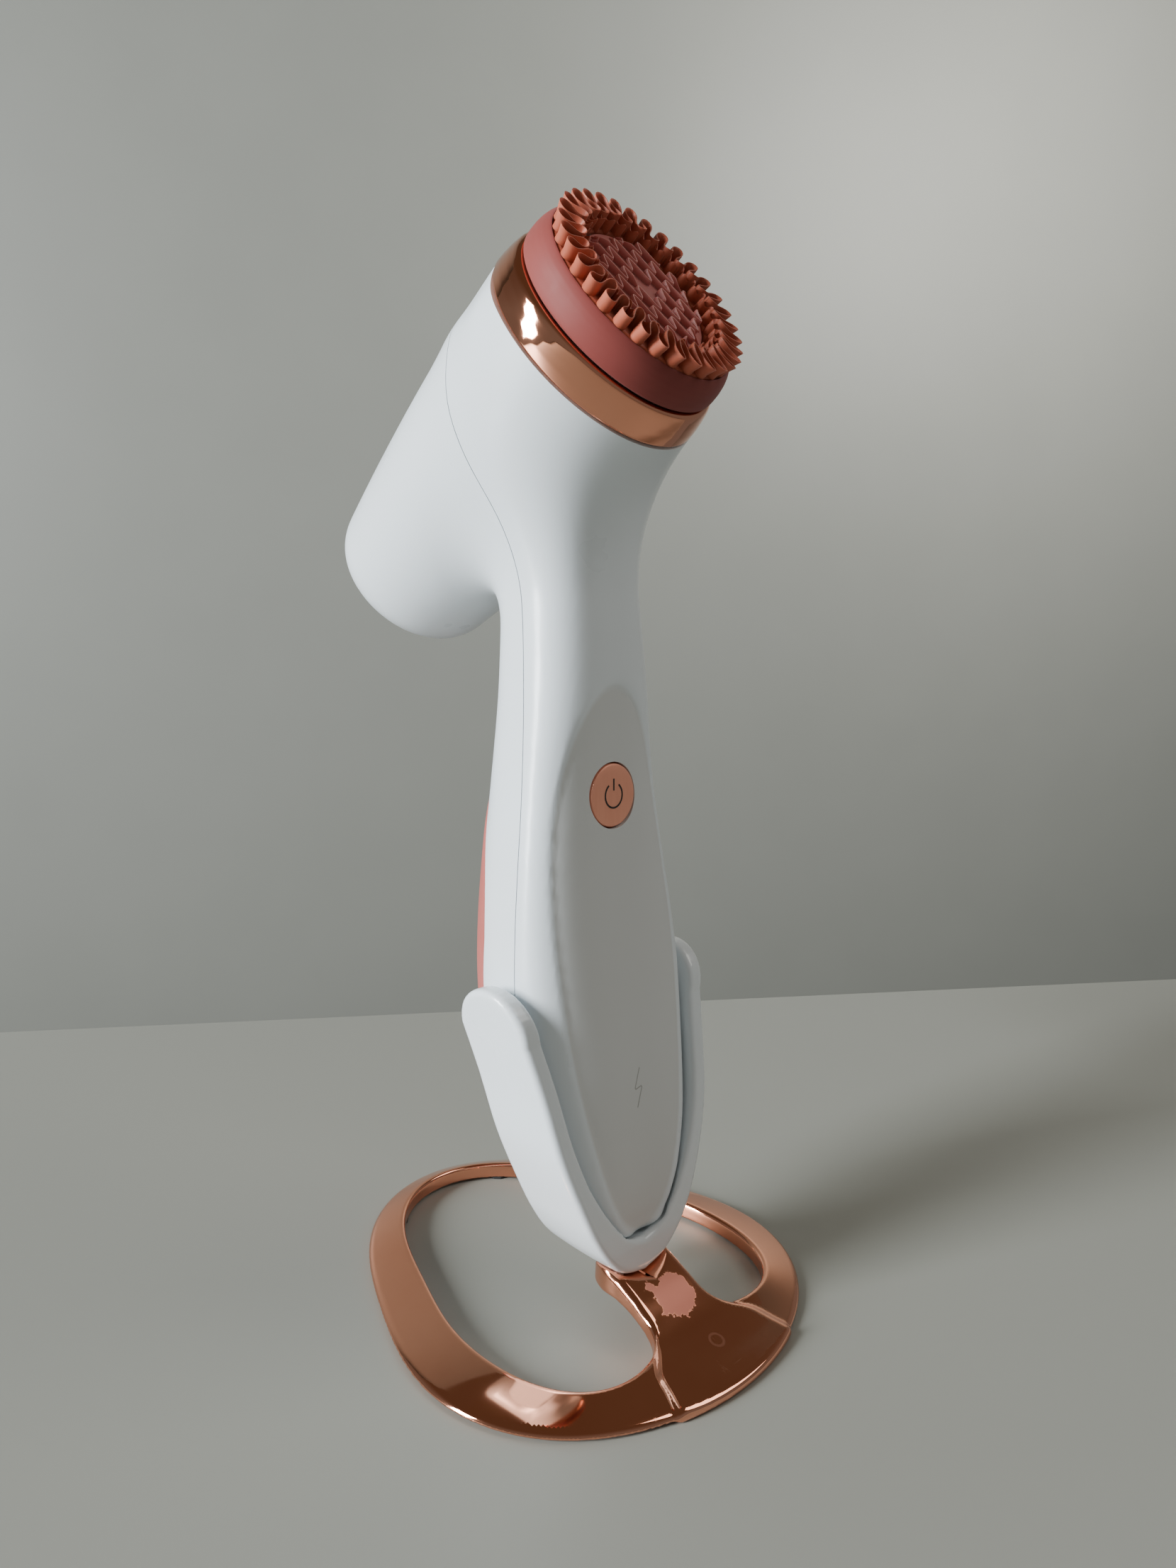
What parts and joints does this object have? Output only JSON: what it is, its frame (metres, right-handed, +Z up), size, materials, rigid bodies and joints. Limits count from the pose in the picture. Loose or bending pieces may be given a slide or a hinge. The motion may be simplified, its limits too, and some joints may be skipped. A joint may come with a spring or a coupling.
{
  "type": "facial cleansing brush on charging stand",
  "caption": "Upright facial cleansing brush with a tilted round silicone brush head, resting in a U-shaped charging cradle on a ring base.",
  "frame": {"origin": "centre of the object's box, on the surface that the stand's feet rest on", "axes": "+Z up; -Y is the side of the button and the brush face; X across, the object is mirrored about x = 0"},
  "size_m": [0.0858, 0.109, 0.2028],
  "materials": {
    "handset_shell": "satin gloss cool white moulded plastic",
    "cradle_white": "gloss white moulded plastic",
    "rose_gold_chrome": "mirror rose-gold plating with fine scratches",
    "rose_gold_satin": "satin rose-gold plating",
    "grip_silicone": "soft-touch dusty pink",
    "collar_silicone": "smooth dusty pink silicone",
    "coral_silicone": "matte coral silicone",
    "pale_silicone": "translucent pale pink silicone",
    "black_rubber": "matte",
    "black_plastic": "matte",
    "grey_plastic": "matte",
    "white_acetal": "smooth",
    "steel": "machined",
    "copper": "enamelled wire",
    "circuit_board": "solder mask",
    "battery_wrap": "shrink wrap"
  },
  "bodies": {
    "stand": {"base_plate": "rose_gold_chrome", "cradle_shell": "cradle_white", "cradle_lid": "cradle_white", "charge_inlet": "steel", "charger_board": "circuit_board", "charge_coil": "copper", "coil_ferrite": "black_plastic", "base_foot_1": "black_rubber", "base_foot_2": "black_rubber", "base_foot_3": "black_rubber", "base_foot_4": "black_rubber", "cradle_screw_1": "steel", "cradle_screw_2": "steel"},
    "handset": {"front_shell": "handset_shell", "back_shell": "handset_shell", "back_grip": "grip_silicone", "shell_screw_1": "steel", "shell_screw_2": "steel", "main_board": "circuit_board", "tact_switch": "black_plastic", "control_chip": "black_plastic", "battery_cell": "battery_wrap", "battery_lower_cup": "grey_plastic", "battery_upper_cup": "grey_plastic", "receive_coil": "copper", "receive_ferrite": "black_plastic", "handset_magnet": "steel", "charge_light_pipe": "white_acetal", "gold_band": "rose_gold_chrome", "head_mount": "black_plastic", "front_bearing": "steel", "shaft_seal": "black_rubber", "motor_body": "steel", "motor_bracket": "grey_plastic", "rear_bearing": "steel", "motor_screw_1": "steel", "motor_screw_2": "steel", "motor_damper_1": "black_rubber", "motor_damper_2": "black_rubber"},
    "button": {"power_button": "rose_gold_satin"},
    "shaft": {"drive_shaft": "steel"},
    "treatment_head": {"head_base": "grey_plastic", "head_collar": "collar_silicone", "ring_bush": "grey_plastic"},
    "inner_disc": {"sun_gear": "white_acetal", "inner_bristle_disc": "pale_silicone"},
    "planet_1": {"planet_gear_1": "white_acetal"},
    "planet_2": {"planet_gear_2": "white_acetal"},
    "planet_3": {"planet_gear_3": "white_acetal"},
    "outer_ring": {"ring_gear": "white_acetal", "outer_bristle_ring": "coral_silicone"}
  },
  "joints": [
    {"name": "handset_lift", "type": "slide", "parent": "stand", "child": "handset", "axis": [0, 0.1961, 0.9806], "range_m": [0, 0.09]},
    {"name": "button_press", "type": "slide", "parent": "handset", "child": "button", "axis": [0, 0.9973, -0.0732], "range_m": [0, 0.0005], "stiffness_N_per_m": 300, "springref_m": -0.0008},
    {"name": "head_release", "type": "slide", "parent": "handset", "child": "treatment_head", "axis": [0, -0.7799, 0.6259], "range_m": [0, 0.012]},
    {"name": "ring_turn", "type": "hinge", "parent": "treatment_head", "child": "outer_ring", "pos_m": [0, -0.0056, 0.1775], "axis": [0, -0.7799, 0.6259], "range_deg": [-3, 3]},
    {"name": "disc_turn", "type": "hinge", "parent": "treatment_head", "child": "inner_disc", "pos_m": [0, -0.0056, 0.1775], "axis": [0, -0.7799, 0.6259], "range_deg": [-9, 9]},
    {"name": "shaft_turn", "type": "hinge", "parent": "handset", "child": "shaft", "pos_m": [0, -0.0056, 0.1775], "axis": [0, -0.7799, 0.6259], "range_deg": [-9, 9]},
    {"name": "planet_1_turn", "type": "hinge", "parent": "treatment_head", "child": "planet_1", "pos_m": [0, -0.00761, 0.18937], "axis": [0, -0.7799, 0.6259], "range_deg": [-9, 9]},
    {"name": "planet_2_turn", "type": "hinge", "parent": "treatment_head", "child": "planet_2", "pos_m": [-0.00693, -0.01512, 0.18001], "axis": [0, -0.7799, 0.6259], "range_deg": [-9, 9]},
    {"name": "planet_3_turn", "type": "hinge", "parent": "treatment_head", "child": "planet_3", "pos_m": [0.00693, -0.01512, 0.18001], "axis": [0, -0.7799, 0.6259], "range_deg": [-9, 9]}
  ],
  "couplings": [
    {"joint": "disc_turn", "follows": "ring_turn", "ratio": -3},
    {"joint": "shaft_turn", "follows": "ring_turn", "ratio": -3},
    {"joint": "planet_1_turn", "follows": "ring_turn", "ratio": 3},
    {"joint": "planet_2_turn", "follows": "ring_turn", "ratio": 3},
    {"joint": "planet_3_turn", "follows": "ring_turn", "ratio": 3}
  ]
}
